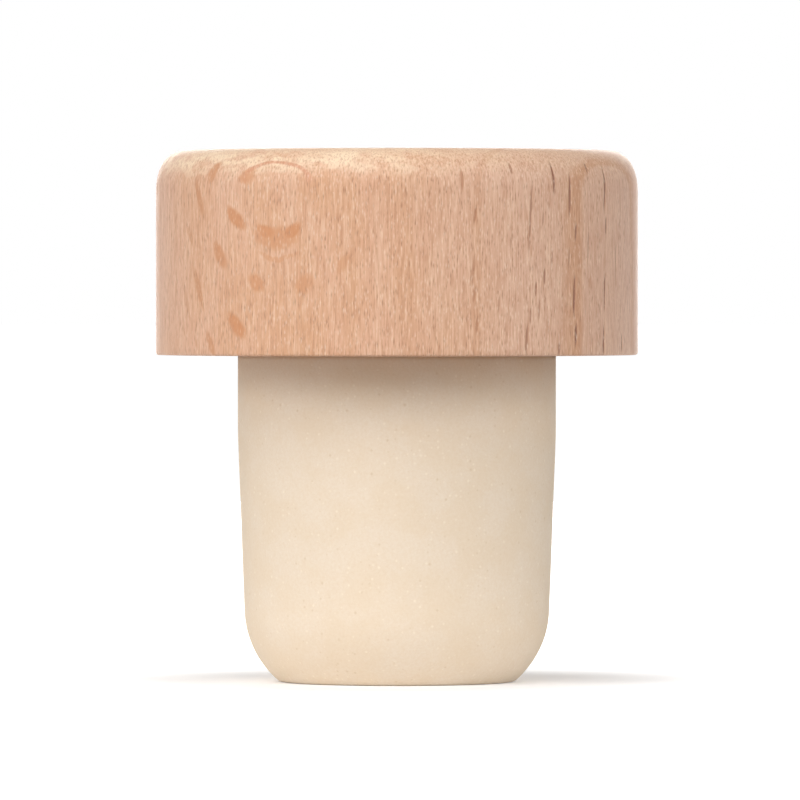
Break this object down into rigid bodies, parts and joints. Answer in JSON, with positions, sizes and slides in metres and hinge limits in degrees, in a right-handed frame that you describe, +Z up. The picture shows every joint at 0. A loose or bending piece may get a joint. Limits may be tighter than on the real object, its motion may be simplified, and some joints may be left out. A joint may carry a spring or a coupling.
{
  "type": "bottle stopper",
  "caption": "Bar-top bottle stopper: a turned wooden head, rounded over at the top, on a slightly tapered synthetic plug with a rounded nose.",
  "frame": {"origin": "centre of the plug's flat foot", "axes": "+Z up along the stopper's own axis, from the foot to the top of the head; X and Y are square to it, and the stopper looks the same along both"},
  "size_m": [0.0295, 0.0294, 0.0325],
  "materials": {
    "beech": "satin",
    "synthetic_cork": "matt"
  },
  "bodies": {
    "root": {"wooden_head": "beech", "synthetic_plug": "synthetic_cork"}
  },
  "joints": []
}
